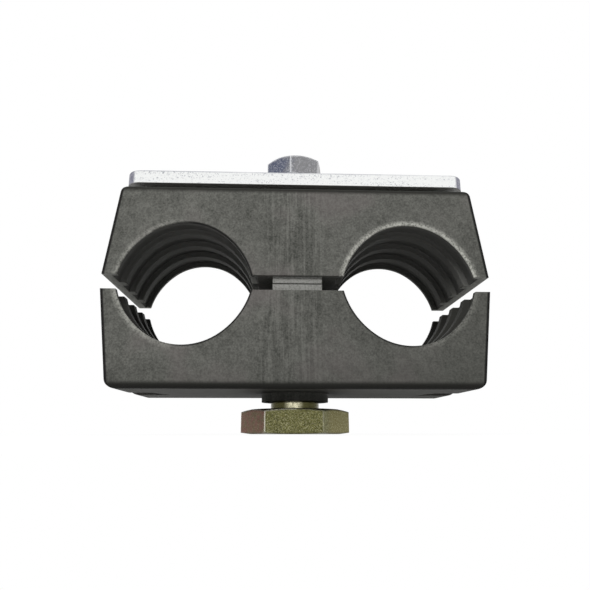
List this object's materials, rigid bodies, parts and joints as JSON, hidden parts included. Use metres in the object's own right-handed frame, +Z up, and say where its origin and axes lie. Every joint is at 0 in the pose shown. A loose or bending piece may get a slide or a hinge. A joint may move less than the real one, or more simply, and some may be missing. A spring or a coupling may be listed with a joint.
{
  "type": "twin hydraulic tube clamp",
  "caption": "Two ribbed plastic halves that clamp two parallel tubes, drawn down by one hexagon bolt, a cover plate and a hexagon rail nut.",
  "frame": {"origin": "centre of the rail nut's flat bottom face, on the bolt's axis", "axes": "+X along the clamp from the left tube to the right, +Y along the tubes, away from the front face, +Z up the bolt towards its head"},
  "size_m": [0.0774, 0.03, 0.0627],
  "materials": {
    "moulded_black": "fine-grained moulded polyamide, near black, with faint flow marks",
    "bright_zinc": "bright zinc-plated sheet steel",
    "blue_zinc": "blue-passivated zinc on forged steel",
    "yellow_zinc": "yellow-passivated zinc on steel, olive with reddish patches"
  },
  "bodies": {
    "nut": {"rail_nut": "yellow_zinc"},
    "base": {"lower_half": "moulded_black"},
    "cap": {"upper_half": "moulded_black", "cover_plate": "bright_zinc", "spring_washer": "blue_zinc"},
    "bolt": {"clamp_bolt": "blue_zinc"}
  },
  "joints": [
    {"name": "nut_swivel", "type": "hinge", "parent": "nut", "child": "base", "pos_m": [0, 0, 0], "axis": [0, 0, 1], "continuous": true},
    {"name": "clamp_lift", "type": "slide", "parent": "base", "child": "cap", "axis": [0, 0, 1], "range_m": [0, 0.00375]},
    {"name": "bolt_turn", "type": "hinge", "parent": "cap", "child": "bolt", "pos_m": [0, 0, 0.0547], "axis": [0, 0, 1], "range_deg": [0, 1080]}
  ],
  "couplings": [
    {"joint": "bolt_turn", "follows": "clamp_lift", "rad_per_m": 5026.5}
  ]
}
